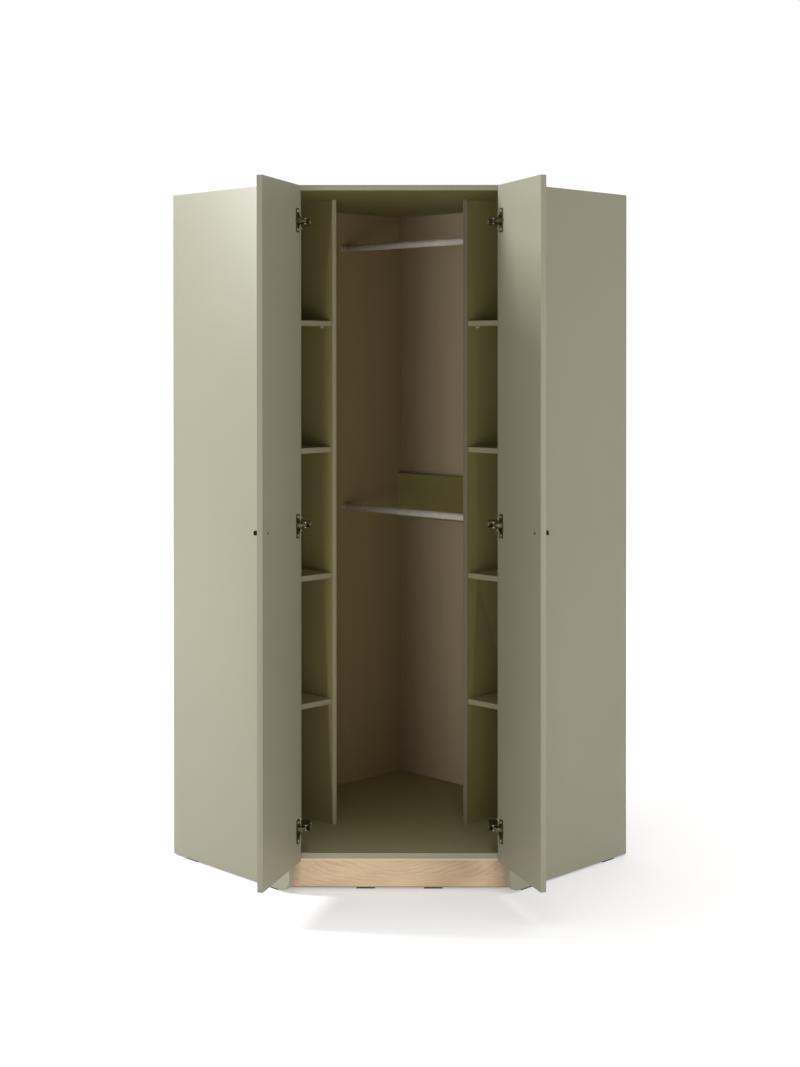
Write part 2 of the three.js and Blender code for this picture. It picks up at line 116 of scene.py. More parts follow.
# Screw heads, as shares of their height and radius
SCREW_BASE = 0.35
SCREW_RIM = 0.65
SCREW_ROUND = 0.2
SCREW_CROSS = 0.62
SCREW_CROSS_WIDTH = 0.3
HEAD_RADIUS = 0.0036

# Hinge cups
CUP_FACE = 0.0103                # the door's inner face, from the pin
CUP_DISC = 0.0195
CUP_PLATE = 0.0013
CUP_MOUTH = 0.0154
CUP_NOTCH = 0.0065               # half the width of the notch where the arm comes in
CUP_NOTCH_OVERRUN = 0.002
CUP_RADIUS = 0.0172
CUP_DEPTH = 0.0118
CUP_WALL = 0.0009
CUP_FLOOR = 0.0004
CUP_TOP = 0.0012
CUP_CHAMFER = (0.002, 0.0025, 0.003)   # outside, inside across, inside up
CUP_WAY = 0.011                    # from the cup's middle to the opening that the link turns through
CUP_WAY_HALF = 0.0058
CUP_WAY_HEIGHTS = (-0.009, 0.002)
EAR_SHIFT = 0.005                # ears beyond the cup's middle
EAR_WIDTH = 0.024
EAR_CORNER = 0.005
EAR_SCREW = 0.008                # from the end of an ear
EAR_SCREW_SEAT = 0.0012
EAR_SCREW_HEIGHT = 0.0014

# Hinge arms
ARM_SHEET = 0.0014
ARM_SETBACK = 0.0005             # arm front behind the carcass front
ARM_NOSE = 0.007
ARM_NOSE_TOP = 0.002
ARM_NOSE_BEND = 0.45
ARM_TOE = 0.004
ARM_HALF = 0.009
SLOT_X = (-0.012, 0.010)
SLOT_HALF = 0.0026
SLOT_CUT = (-0.0045, 0.004)
NECK_X = (0.0138, 0.0155)
NECK_Y = (-0.0010, 0.0003)
NECK_HALF = 0.005
KNEE_X = (0.0156, 0.0247, 0.0262)
KNEE_Y = (0.0035, 0.0057, 0.0125, 0.0133)
KNEE_HALF = 0.004
BARREL = ((0.0011, 0.0074), (0.0022, 0.005))   # radius and half length of the pin and of the sleeve
MOUNT_GAP = 0.0003
MOUNT_THICKNESS = 0.003
MOUNT_HALF_WIDTH = 0.007
MOUNT_HALF_HEIGHT = 0.025
MOUNT_CORNER = 0.003
MOUNT_ROUND = 0.0006
MOUNT_SCREW_HEIGHT = 0.0012
ARM_SCREW_RADIUS = 0.0030
ARM_SCREW_HEIGHT = 0.0009
ARM_SCREW_PLACES = (-0.019, 0.0175)
RIVET_X = 0.0246
RIVET_BEHIND = 0.006
RIVET_OFFSET = 0.0066
RIVET = ((0, 0), (0.0021, 0), (0.0021, 0.0058), (0.0014, 0.0068), (0, 0.0068))

# Knobs, as shares of the rim's radius and of the length, and their screws
KNOB_NECK = 0.62
KNOB_FOOT = 0.88
KNOB_FOOT_TOP = 0.92
KNOB_FOOT_HEIGHTS = (0.03, 0.08)
KNOB_BODY = 0.74
KNOB_SWELL = (0.25, 0.6)         # where the swelling starts, and over how much of the body
KNOB_FLARE = 4                   # power that the foot's flare falls off with
KNOB_STEPS = 14
KNOB_RIM = 0.0016
KNOB_RIM_STEPS = 8
KNOB_DISH = (0.55, 0.5)
KNOB_DISH_DEPTH = 0.0003
SHANK_RADIUS = 0.0019
SHANK_SHORT = 0.0012

# Shelf supports, round the pins of the boards
SUPPORT_WIDTH = 0.0130
SUPPORT_DROP = 0.0066
SUPPORT_THICKNESS = 0.0016
SUPPORT_PIN = 0.0027
SUPPORT_PIN_REACH = 0.008        # how far the frame's pins stand out of the boards
SUPPORT_REACH = 0.0085
SUPPORT_GAP = 0.0003
SUPPORT_PLACES = (0.4115, 0.6635)    # along the side wall, from the front corner

# Hanging rails and their sockets
SOCKET_LENGTH = 0.012
SOCKET_FLANGE = 0.0025
SOCKET_FLANGE_EDGE = 0.6         # share of the flange that is upright
SOCKET_FLANGE_CHAMFER = 0.001
SOCKET_RADIUS = 0.0155
SOCKET_COLLAR = 0.0133
SOCKET_CHAMFER = 0.0006
RAIL_RADIUS = 0.011
RAIL_GAP = 0.0003                # between rail and socket
RAIL_CHAMFER = 0.0005

# Materials: the middle of a noise, where most of its values lie
NOISE_MIDDLE = (0.3, 0.7)
FRONT = (0.0, -1.0, 0.0)
FRONT_AND_TOP = (0.0, -0.95, 0.95)

# Lacquer and foil
SAGE = (0.2415, 0.231, 0.163)
OLIVE = (0.255, 0.222, 0.083)
# painted shade: the top panel is a darker copy of the interior foil, for the shade under the top
CEILING_PAINTED_SHADE = (0.175, 0.155, 0.048)
# painted light: the bottom panel is paler towards the front, where light falls in through the opening
FLOOR_FRONT_PAINTED_LIGHT = (0.262, 0.242, 0.135)
FRONT_LIGHT_ZONE = (-0.38, 0.05)       # the painted front light fades out between these places on Y
SHELF_BAND = (0.272, 0.245, 0.152)
# painted light on the left partition's front edge, painted shade on the right one's
PARTITION_EDGE_LIT_AND_SHADED = {"left": (0.350, 0.315, 0.196), "right": (0.180, 0.162, 0.101)}
# painted shade on the doors' free edges, darker than the lacquer
DOOR_EDGE_PAINTED_SHADE = (0.212, 0.195, 0.138)
LACQUER_ROUGHNESS = 0.46
FOIL_ROUGHNESS = 0.55
GLOSSY_FOIL_ROUGHNESS = 0.5
LACQUER_DRIFT = 1.6              # noise scale of the slow changes of tone
LACQUER_TONES = (0.97, 1.03)
LACQUER_HANDLED = 9.0            # noise scale of the changes of gloss
LACQUER_GLOSS = (-0.02, 0.03)
LACQUER_PEEL = 420.0             # noise scale of the orange peel
LACQUER_BUMP = (0.12, 0.0003)    # strength and distance
BAND_FACING = (0.75, 0.95)       # cosines where an edge band's colour starts and is full

# Back panels: colour in the corner, with painted shade, and away from it, with painted light that is
# stronger on the right panel
BACK_BROWN_LIT_AND_SHADED = {"left": ((0.228, 0.164, 0.073), (0.304, 0.219, 0.096)),
         "right": ((0.223, 0.163, 0.092), (0.520, 0.410, 0.266))}
FIBRE_ROUGHNESS = 0.72
# how far from the corner the painted shade gives way to painted light
CORNER_SHADE_REACH = 0.19
FIBRE_STREAKS = (14.0, 14.0, 1.1)    # stretch along each axis
FIBRE_STREAK_TONES = (0.94, 1.02)
FIBRE_FLECKS = 260.0
FIBRE_FLECK_RANGE = (0.45, 0.75)
FIBRE_FLECK_SHARE = 0.3
FIBRE_FLECK_TONE = (0.75, 0.75, 0.75)
FIBRE_BUMP = (0.2, 0.0003)

# Oak veneer
OAK_LIGHT = (0.740, 0.562, 0.372)
OAK_DARK = (0.520, 0.370, 0.225)
OAK_WARM = (0.700, 0.500, 0.300)
OAK_ROUGHNESS = 0.5
OAK_BOW_SHARE = 0.47             # where along the plinth the rings hang lowest
OAK_BOW_SLOPE = 0.36
OAK_PITH_SHARE = 0.3             # the rings' middle above the plinth, as a share of its height
# Waves in the rings: stretch along each axis, and size in metres
OAK_WAVES = (((3.0, 0.5, 9.0), 0.060), ((12.0, 1.0, 40.0), 0.012), ((40.0, 1.0, 120.0), 0.0022))
# Rings: spacing, stretch of the patches where they fade, and weakest and strongest contrast
OAK_RINGS = ((0.0100, (9.0, 1.0, 45.0), (0.15, 1.0)), (0.0041, (14.0, 1.0, 70.0), (0.15, 0.8)))
OAK_RING_SHAPE = ((0.0, 0.0), (0.5, 0.35), (0.8, 1.0), (1.0, 0.0))
OAK_PATCHES = (0.35, 0.65)
# Fibres, pores and drift of colour: stretch along each axis, share, and range of the noise
OAK_FIBRES = ((9.0, 20.0, 420.0), 0.55, (0.42, 0.72))
OAK_PORES = ((55.0, 60.0, 1300.0), 0.35, (0.52, 0.75))
OAK_DRIFT = ((7.0, 1.0, 26.0), 0.7, (0.45, 0.65))
OAK_PORE_TONE = 0.85
OAK_UNEVEN = (-0.05, 0.05)
# Tone along the plinth, from left to right: the wood's own changes of tone, and painted shade at both ends,
# next to the side panels
OAK_TONE_AND_END_SHADE = ((0.0, 0.81), (0.13, 0.84), (0.26, 0.96), (0.56, 0.97), (0.74, 0.69), (0.86, 0.86), (0.96, 0.6))
OAK_DARK_TONE = 0.8              # tones below this are tinted
OAK_DARK_TINT = (1.0, 0.97, 0.93)
OAK_PALE_TOP = 0.0150             # pale strip along the top, part of it hidden from the front
OAK_PALE_TOP_SHARE = 0.6
OAK_PALE_TOP_COLOUR = (0.700, 0.560, 0.390)
OAK_SHADOW_LINE = 0.0036           # painted shadow along the lower edge, over the gap under the plinth
OAK_SHADOW_LINE_SHARE = 0.8
OAK_SHADOW_LINE_COLOUR = (0.230, 0.160, 0.110)
OAK_EDGE_BLEND = 0.001
OAK_BUMP = (0.15, 0.0003)

# Metals
RAIL_BRIGHT = (0.98, 0.92, 0.82)
RAIL_PAINTED_SHADE = (0.34, 0.26, 0.17)   # painted shade towards the left ends, deep in the wardrobe, where less light reaches
RAIL_SHADE_ZONE = (-0.22, 0.12)
RAIL_ROUGHNESS = 0.33
RAIL_METALLIC = 0.35
RAIL_GRAIN = (1.0, 1.0, 0.05)
EVEN_GRAIN = (1.0, 1.0, 1.0)
SUPPORT_STEEL = (0.64, 0.60, 0.46)
SUPPORT_ROUGHNESS = 0.4
SUPPORT_METALLIC = 0.6
NICKEL = (0.13, 0.115, 0.055)
SCREW_STEEL = (0.60, 0.55, 0.40)
SCREW_METALLIC = 0.7
BRONZE = (0.014, 0.011, 0.005)
DULL_ROUGHNESS = 0.42
METAL_DRIFT = 60.0               # noise scale of the changes of tone
METAL_TONE = 0.86
METAL_BRUSHING = 900.0
METAL_GLOSS = (-0.07, 0.09)
METAL_BUMP = (0.05, 0.0001)

# Gliders
RUBBER = (0.0035, 0.0035, 0.0035)
RUBBER_ROUGHNESS = 0.85
RUBBER_GRAIN = 700.0
RUBBER_GRAIN_RANGE = (0.35, 0.65)
RUBBER_TONES = (0.8, 1.25)
RUBBER_BUMP = (0.25, 0.0003)


# Axes of the doors

def hinge_axes(side, turned):
    """The axes at a door's hinge pin, turned with the open door or square with the carcass."""
    joint = next(j for j in frame["joints"] if j["child"] == f"{side}_door")
    x, y, _ = joint["pos_m"]
    sign = SIDES[side]
    angle = math.radians(joint["range_deg"][1]) * sign if turned else 0.0
    mirror = Matrix.Diagonal((-sign, 1, 1, 1))
    return Matrix.Translation((x, y, 0)) @ Matrix.Rotation(angle, 4, "Z") @ mirror


def box_in(node, axes):
    """A node's lowest and highest corners in some axes."""
    inverse = axes.inverted()
    points = [inverse @ vertex.co for vertex in nodes[node].data.vertices]
    low = Vector(min(p[i] for p in points) for i in range(3))
    high = Vector(max(p[i] for p in points) for i in range(3))
    return low, high


# Node trees

class Shader:
    """A material's nodes, with short calls for the ones that are used here."""

    def __init__(self, name, roughness, metallic=0.0):
        self.material = bpy.data.materials.new(name)
        self.material.use_nodes = True
        self.tree = self.material.node_tree
        self.tree.nodes.clear()
        self.surface = self.add("ShaderNodeBsdfPrincipled")
        self.surface.inputs["Roughness"].default_value = roughness
        self.surface.inputs["Metallic"].default_value = metallic
        output = self.add("ShaderNodeOutputMaterial")
        self.link(self.surface.outputs["BSDF"], output.inputs["Surface"])
        coordinates = self.add("ShaderNodeTexCoord")
        self.place = coordinates.outputs["Object"]
        self.normal = coordinates.outputs["Normal"]

    def add(self, kind, **values):
        node = self.tree.nodes.new(kind)
        for key, value in values.items():
            setattr(node, key, value)
        return node

    def link(self, source, target):
        self.tree.links.new(source, target)

    def feed(self, value, socket):
        """Links a node's output to a socket, or sets the socket to a number or colour."""
        if isinstance(value, bpy.types.NodeSocket):
            self.link(value, socket)
        elif socket.type == "RGBA":
            socket.default_value = (*value, 1.0)
        else:
            socket.default_value = value

    def split(self):
        """The object coordinates one by one."""
        node = self.add("ShaderNodeSeparateXYZ")
        self.link(self.place, node.inputs["Vector"])
        return node.outputs

    def stretched(self, scale):
        """Object coordinates, scaled along each axis."""
        node = self.add("ShaderNodeMapping")
        node.inputs["Scale"].default_value = scale
        self.link(self.place, node.inputs["Vector"])
        return node.outputs["Vector"]

    def noise(self, vector, scale, detail=3.0, rough=0.5):
        node = self.add("ShaderNodeTexNoise")
        self.link(vector, node.inputs["Vector"])
        node.inputs["Scale"].default_value = scale
        node.inputs["Detail"].default_value = detail
        node.inputs["Roughness"].default_value = rough
        return node.outputs["Fac"]

    def between(self, value, low, high, start=0.0, end=1.0):
        """Maps start..end of a value to low..high."""
        node = self.add("ShaderNodeMapRange")
        self.link(value, node.inputs["Value"])
        node.inputs["From Min"].default_value = start
        node.inputs["From Max"].default_value = end
        node.inputs["To Min"].default_value = low
        node.inputs["To Max"].default_value = high
        return node.outputs["Result"]

    def ramp(self, value, stops):
        node = self.add("ShaderNodeValToRGB")
        elements = node.color_ramp.elements
        while len(elements) < len(stops):
            elements.new(0.5)
        for element, (position, colour) in zip(elements, stops):
            element.position = position
            element.color = (*colour, 1.0)
        self.link(value, node.inputs["Fac"])
        return node.outputs["Color"]

    def tones(self, value, colour, low, high):
        """A colour made low times as bright where a noise is low, and high times where it is high."""
        start, end = NOISE_MIDDLE
        return self.ramp(value, [(start, scaled(colour, low)), (end, scaled(colour, high))])

    def mix(self, share, first, second, blend="MIX"):
        node = self.add("ShaderNodeMix", data_type="RGBA", blend_type=blend)
        by_name = {socket.identifier: socket for socket in node.inputs}
        self.feed(share, by_name["Factor_Float"])
        self.feed(first, by_name["A_Color"])
        self.feed(second, by_name["B_Color"])
        return next(socket for socket in node.outputs if socket.identifier == "Result_Color")

    def math(self, operation, first, second=None):
        node = self.add("ShaderNodeMath", operation=operation)
        self.feed(first, node.inputs[0])
        if second is not None:
            self.feed(second, node.inputs[1])
        return node.outputs[0]

    def gloss(self, value, roughness, lowest, highest):
        """Lets the roughness follow a noise, by small steps round its usual value."""
        varied = self.between(value, roughness + lowest, roughness + highest, *NOISE_MIDDLE)
        self.link(varied, self.surface.inputs["Roughness"])

    def bump(self, height, strength, distance):
        node = self.add("ShaderNodeBump")
        node.inputs["Strength"].default_value = strength
        node.inputs["Distance"].default_value = distance
        self.link(height, node.inputs["Height"])
        self.link(node.outputs["Normal"], self.surface.inputs["Normal"])


def scaled(colour, factor):
    return tuple(channel * factor for channel in colour)


# Materials

def lacquer(name, colour, roughness, band=None, edge_band_and_shade_colour=None, front_light_colour=None):
    """Lacquer or foil on board: even, with a faint orange peel and slow changes of tone.

    Faces that look along band take the band colour: an edge band's own colour, which on the partitions' and
    doors' edges carries painted light and shade. The front colour, a painted light, comes in towards the
    front of the wardrobe.
    """
    shader = Shader(name, roughness)
    main = shader.tones(shader.noise(shader.place, LACQUER_DRIFT, 2.0), colour, *LACQUER_TONES)
    # painted light towards the front of the wardrobe
    if front_light_colour:
        front_light_share = shader.between(shader.split()["Y"], 1.0, 0.0, *FRONT_LIGHT_ZONE)
        main = shader.mix(front_light_share, main, front_light_colour)
    # the band colour is an edge band's own colour; on the partitions' and doors' edges it carries painted
    # light and shade
    if band:
        facing_band = shader.add("ShaderNodeVectorMath", operation="DOT_PRODUCT")
        shader.link(shader.normal, facing_band.inputs[0])
        facing_band.inputs[1].default_value = band
        share = shader.between(facing_band.outputs["Value"], 0.0, 1.0, *BAND_FACING)
        main = shader.mix(share, main, edge_band_and_shade_colour)
    shader.link(main, shader.surface.inputs["Base Color"])
    shader.gloss(shader.noise(shader.place, LACQUER_HANDLED, 4.0, 0.6), roughness, *LACQUER_GLOSS)
    shader.bump(shader.noise(shader.place, LACQUER_PEEL, 2.0), *LACQUER_BUMP)
    return shader.material


def hardboard(name, corner_shade_colour, outer_light_colour):
    """Thin fibre board: brown, with faint upright streaks and flecks, and painted shade that darkens it in
    the corner.
    """
    shader = Shader(name, FIBRE_ROUGHNESS)
    streaks = shader.noise(shader.stretched(FIBRE_STREAKS), 1.0, 3.0, 0.55)
    flecks = shader.noise(shader.place, FIBRE_FLECKS, 3.0, 0.7)
    # painted shade in the corner, giving way to painted light away from it
    from_corner = shader.math("ABSOLUTE", shader.split()["X"])
    outward = shader.between(from_corner, 0.0, 1.0, 0.0, CORNER_SHADE_REACH)
    main = shader.mix(outward, corner_shade_colour, outer_light_colour)
    streaky = shader.between(streaks, *FIBRE_STREAK_TONES, *NOISE_MIDDLE)
    main = shader.mix(1.0, main, streaky, "MULTIPLY")
    dark = shader.mix(1.0, main, FIBRE_FLECK_TONE, "MULTIPLY")
    share = shader.between(flecks, 0.0, FIBRE_FLECK_SHARE, *FIBRE_FLECK_RANGE)
    shader.link(shader.mix(share, main, dark), shader.surface.inputs["Base Color"])
    shader.bump(flecks, *FIBRE_BUMP)
    return shader.material


def ring_distance(shader, place, low, high):
    """How far a point lies from the pith of the growth rings, with the rings' waves."""
    bow_x = low.x + OAK_BOW_SHARE * (high.x - low.x)
    pith = high.z + OAK_PITH_SHARE * (high.z - low.z)
    across = shader.math("MULTIPLY", shader.math("SUBTRACT", place["X"], bow_x), OAK_BOW_SLOPE)
    above = shader.math("SUBTRACT", place["Z"], pith)
    squares = [shader.math("POWER", shader.math("ABSOLUTE", leg), 2.0) for leg in (across, above)]
    radius = shader.math("SQRT", shader.math("ADD", *squares))
    for scale, size in OAK_WAVES:
        wave = shader.noise(shader.stretched(scale), 1.0, 2.0)
        radius = shader.math("ADD", radius, shader.math("MULTIPLY", wave, size))
    return radius


def oak_tone(share, level):
    """A stop of the tone along the plinth, tinted where it is dark."""
    if level < OAK_DARK_TONE:
        return share, scaled(OAK_DARK_TINT, level)
    return share, (level,) * 3


def oak(name):
    """Crown-cut oak veneer along the plinth: growth rings that sag in a wide bow from end to end.

    The pores are laid last, and they give the bump.
    """
    shader = Shader(name, OAK_ROUGHNESS)
    low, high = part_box("oak_plinth")
    place = shader.split()
    radius = ring_distance(shader, place, low, high)
    main = OAK_LIGHT
    shape_stops = [(position, (level,) * 3) for position, level in OAK_RING_SHAPE]
    for step, patches, contrast in OAK_RINGS:
        rings = shader.math("FRACT", shader.math("DIVIDE", radius, step))
        strength = shader.between(shader.noise(shader.stretched(patches), 1.0), *contrast, *OAK_PATCHES)
        main = shader.mix(shader.math("MULTIPLY", strength, shader.ramp(rings, shape_stops)), main, OAK_DARK)
    pores = scaled(OAK_DARK, OAK_PORE_TONE)
    for fibres, colour in ((OAK_FIBRES, OAK_DARK), (OAK_PORES, pores)):
        stretch, share, span = fibres
        grain = shader.noise(shader.stretched(stretch), 1.0, 3.0, 0.65)
        main = shader.mix(shader.between(grain, 0.0, share, *span), main, colour)
    stretch, share, span = OAK_DRIFT
    drift = shader.noise(shader.stretched(stretch), 1.0, 2.0)
    main = shader.mix(shader.between(drift, 0.0, share, *span), main, OAK_WARM)
    # tone along the plinth: the wood's own, with painted shade at both ends
    along = shader.between(place["X"], 0.0, 1.0, low.x, high.x)
    uneven = shader.math("ADD", along, shader.between(drift, *OAK_UNEVEN, *NOISE_MIDDLE))
    main = shader.mix(1.0, main, shader.ramp(uneven, [oak_tone(*stop) for stop in OAK_TONE_AND_END_SHADE]), "MULTIPLY")
    # a pale strip along the top, and a painted shadow along the lower edge
    edges = ((high.z - OAK_PALE_TOP, OAK_EDGE_BLEND, OAK_PALE_TOP_SHARE, OAK_PALE_TOP_COLOUR),
             (low.z + OAK_SHADOW_LINE, -OAK_EDGE_BLEND, OAK_SHADOW_LINE_SHARE, OAK_SHADOW_LINE_COLOUR))
    for edge, blend, strongest, colour in edges:
        main = shader.mix(shader.between(place["Z"], 0.0, strongest, edge, edge + blend), main, colour)
    shader.link(main, shader.surface.inputs["Base Color"])
    shader.bump(grain, *OAK_BUMP)
    return shader.material


def metal(name, colour, roughness, metallic=1.0, grain=EVEN_GRAIN, shaded_end=None):
    """Plated metal, with fine brushing and slow changes of gloss; a painted shade comes in towards the left.
    """
    shader = Shader(name, roughness, metallic)
    main = shader.tones(shader.noise(shader.place, METAL_DRIFT), colour, METAL_TONE, 1.0)
    # painted shade towards the left
    if shaded_end:
        main = shader.mix(shader.between(shader.split()["X"], 0.0, 1.0, *RAIL_SHADE_ZONE), shaded_end, main)
    shader.link(main, shader.surface.inputs["Base Color"])
    brushing = shader.noise(shader.stretched(grain), METAL_BRUSHING, 2.0)
    shader.gloss(brushing, roughness, *METAL_GLOSS)
    shader.bump(brushing, *METAL_BUMP)
    return shader.material


def moulded(name, colour, roughness):
    """Moulded or felted small parts with a fine texture."""
    shader = Shader(name, roughness)
    grain = shader.noise(shader.place, RUBBER_GRAIN, 3.0, 0.6)
    stops = [(position, scaled(colour, tone)) for position, tone in zip(RUBBER_GRAIN_RANGE, RUBBER_TONES)]
    shader.link(shader.ramp(grain, stops), shader.surface.inputs["Base Color"])
    shader.bump(grain, *RUBBER_BUMP)
    return shader.material


BOARD_FINISH = {}
BACK_FINISH = {}
sage = lacquer("sage_lacquer_paint", SAGE, LACQUER_ROUGHNESS)
level_foil = lacquer("interior_foil_level", OLIVE, FOIL_ROUGHNESS, FRONT, SAGE)
# the top panel's foil is darkened with painted shade, and is sage on its front edge and top
BOARD_FINISH["top_panel"] = lacquer("interior_foil_ceiling_painted_shade", CEILING_PAINTED_SHADE, GLOSSY_FOIL_ROUGHNESS,
                                    FRONT_AND_TOP, SAGE)
# the bottom panel's foil has painted light towards the front
BOARD_FINISH["bottom_panel"] = lacquer("interior_foil_floor_painted_light", OLIVE, GLOSSY_FOIL_ROUGHNESS,
                                       FRONT, SAGE, FLOOR_FRONT_PAINTED_LIGHT)
BOARD_FINISH["back_stretcher"] = lacquer("stretcher_foil", OLIVE, GLOSSY_FOIL_ROUGHNESS)
BOARD_FINISH["back_corner_post"] = level_foil
BOARD_FINISH["rail_batten"] = level_foil
BOARD_FINISH["oak_plinth"] = oak("oak_veneer_grain")
for side, sign in SIDES.items():
    inner_front = (-sign * HALF_ROOT, -HALF_ROOT, 0.0)
    free_edge = hinge_axes(side, True).to_3x3() @ Vector((1, 0, 0))
    foil = lacquer(f"interior_foil_{side}", OLIVE, FOIL_ROUGHNESS, inner_front, SHELF_BAND)
    BOARD_FINISH[f"{side}_side_panel"] = sage
    BOARD_FINISH[f"{side}_hinge_post"] = sage
    # the doors' free edges take painted shade
    BOARD_FINISH[f"{side}_door"] = lacquer(f"sage_lacquer_{side}_door", SAGE, LACQUER_ROUGHNESS,
                                           free_edge, DOOR_EDGE_PAINTED_SHADE)
    # partition edges: painted light on the left, painted shade on the right
    BOARD_FINISH[f"{side}_partition"] = lacquer(f"interior_foil_{side}_partition", OLIVE, FOIL_ROUGHNESS,
                                                inner_front, PARTITION_EDGE_LIT_AND_SHADED[side])
    BOARD_FINISH[f"{side}_rear_bearer"] = foil
    for row in SHELF_ROWS:
        BOARD_FINISH[f"{side}_shelf_{row}"] = foil
    # back panels carry painted shade in the corner and painted light away from it
    BACK_FINISH[side] = hardboard(f"back_hardboard_{side}", *BACK_BROWN_LIT_AND_SHADED[side])
# the rails' metal has painted shade towards their left ends
rail_steel = metal("satin_rail_steel", RAIL_BRIGHT, RAIL_ROUGHNESS, RAIL_METALLIC, RAIL_GRAIN, RAIL_PAINTED_SHADE)
support_steel = metal("bright_support_steel", SUPPORT_STEEL, SUPPORT_ROUGHNESS, SUPPORT_METALLIC)
nickel = metal("dull_nickel", NICKEL, DULL_ROUGHNESS)
screw_steel = metal("dull_screw_steel", SCREW_STEEL, DULL_ROUGHNESS, SCREW_METALLIC)
bronze = metal("dark_knob_metal", BRONZE, DULL_ROUGHNESS)
rubber = moulded("black_glider", RUBBER, RUBBER_ROUGHNESS)


def soften(item, width, segments):
    """Rounds an object's edges with a bevel modifier."""
    bevel = item.modifiers.new("soft_edges", "BEVEL")
    bevel.width = width
    bevel.segments = segments
    bevel.limit_method = "ANGLE"
    bevel.angle_limit = SMOOTH_ANGLE
    bevel.harden_normals = True


def dress(node, finish, width):
    """Gives a frame node its finish and softened edges."""
    node.data.materials.clear()
    node.data.materials.append(finish)
    weld = node.modifiers.new("weld", "WELD")
    weld.merge_threshold = width * WELD_SHARE
    flat = node.modifiers.new("flat", "DECIMATE")
    flat.decimate_type = "DISSOLVE"
    flat.angle_limit = FLAT_ANGLE
    soften(node, width, BOARD_SEGMENTS)


def dress_boards():
    for name, finish in BOARD_FINISH.items():
        dress(nodes[name], finish, BOARD_ROUND)
    for side in SIDES:
        dress(nodes[f"{side}_back_panel"], BACK_FINISH[side], BACK_ROUND)
        for spot in ("front", "rear", "plinth", "bearer"):
            dress(nodes[f"{side}_{spot}_pad"], rubber, PAD_ROUND)


# Mesh helpers

def link_new(name, data):
    """A new object in the scene."""
    item = bpy.data.objects.new(name, data)
    bpy.context.scene.collection.objects.link(item)
    return item


def mesh_of(shape, name):
    """A mesh from a bmesh, with its faces turned outwards. The bmesh is freed."""
    bmesh.ops.recalc_face_normals(shape, faces=shape.faces)
    mesh = bpy.data.meshes.new(name)
    shape.to_mesh(mesh)
    shape.free()
    return mesh


def finish_piece(name, meshes, body, material, replaced=(), rounding=0.0):
    """Joins meshes into one piece that rides on a body."""
    joined = bmesh.new()
    for mesh in meshes:
        joined.from_mesh(mesh)
        bpy.data.meshes.remove(mesh)
    data = mesh_of(joined, name)
    data.shade_smooth()
    data.set_sharp_from_angle(angle=SMOOTH_ANGLE)
    data.materials.append(material)
    piece = link_new(name, data)
    if rounding:
        soften(piece, rounding, FITTING_SEGMENTS)
    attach(piece, body)
    if replaced:
        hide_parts(*replaced)
    return piece


def arc(centre, radius, start, end, steps=ARC_STEPS):
    """Points along an arc, both ends included."""
    turns = [start + (end - start) * i / steps for i in range(steps + 1)]
    return [(centre[0] + radius * math.cos(a), centre[1] + radius * math.sin(a)) for a in turns]


def circle(radius, sides=SCREW_SIDES):
    return arc((0.0, 0.0), radius, 0.0, math.tau, sides)[:-1]


def box_outline(low_x, high_x, low_y, high_y):
    return [(low_x, low_y), (high_x, low_y), (high_x, high_y), (low_x, high_y)]


def plate(outlines, thickness, rounding, matrix):
    """A flat plate in X and Y, from Z = 0 up, with holes and rounded rims."""
    curve = bpy.data.curves.new("plate", "CURVE")
    curve.dimensions = "2D"
    curve.fill_mode = "BOTH"
    curve.extrude = thickness / 2 - rounding
    curve.bevel_depth = rounding
    curve.bevel_resolution = 2
    curve.offset = -rounding
    for outline in outlines:
        spline = curve.splines.new("POLY")
        spline.points.add(len(outline) - 1)
        for point, (x, y) in zip(spline.points, outline):
            point.co = (x, y, 0.0, 1.0)
        spline.use_cyclic_u = True
    holder = link_new("plate", curve)
    evaluated = holder.evaluated_get(bpy.context.evaluated_depsgraph_get())
    mesh = bpy.data.meshes.new_from_object(evaluated)
    bpy.data.objects.remove(holder)
    bpy.data.curves.remove(curve)
    mesh.transform(matrix @ Matrix.Translation((0, 0, thickness / 2)))
    welded = bmesh.new()
    welded.from_mesh(mesh)
    bmesh.ops.remove_doubles(welded, verts=welded.verts, dist=TINY)
    bpy.data.meshes.remove(mesh)
    return mesh_of(welded, "plate")


def lathe(profile, matrix, sides=ROUND_SIDES):
    """A profile of (radius, height) points turned about Z."""
    turned = bmesh.new()
    rings = []
    for radius, height in profile:
        if radius < TINY:
            rings.append([turned.verts.new((0, 0, height))])
        else:
            rings.append([turned.verts.new((x, y, height)) for x, y in circle(radius, sides)])
    for low, high in zip(rings, rings[1:]):
        for i in range(sides):
            j = (i + 1) % sides
            corners = [low[i % len(low)], low[j % len(low)], high[j % len(high)], high[i % len(high)]]
            unique = list(dict.fromkeys(corners))
            if len(unique) > 2:
                turned.faces.new(unique)
    turned.transform(matrix)
    return mesh_of(turned, "lathe")


def prism(outline, low, high, matrix):
    """An outline in X and Y raised from one height to another."""
    raised = bmesh.new()
    bottom = [raised.verts.new((x, y, low)) for x, y in outline]
    top = [raised.verts.new((x, y, high)) for x, y in outline]
    raised.faces.new(list(reversed(bottom)))
    raised.faces.new(top)
    for i in range(len(outline)):
        j = (i + 1) % len(outline)
        raised.faces.new((bottom[i], bottom[j], top[j], top[i]))
    raised.transform(matrix)
    return mesh_of(raised, "prism")


def facing(origin, direction, up=(0, 0, 1)):
    """A matrix that takes Z to a direction and starts at an origin."""
    z = Vector(direction).normalized()
    x = Vector(up).cross(z)
    if x.length < FACING_TINY:
        x = Vector((1, 0, 0))
    x.normalize()
    y = z.cross(x)
    return Matrix.Translation(origin) @ Matrix((x, y, z)).transposed().to_4x4()


def raised_by(height):
    return Matrix.Translation((0, 0, height))


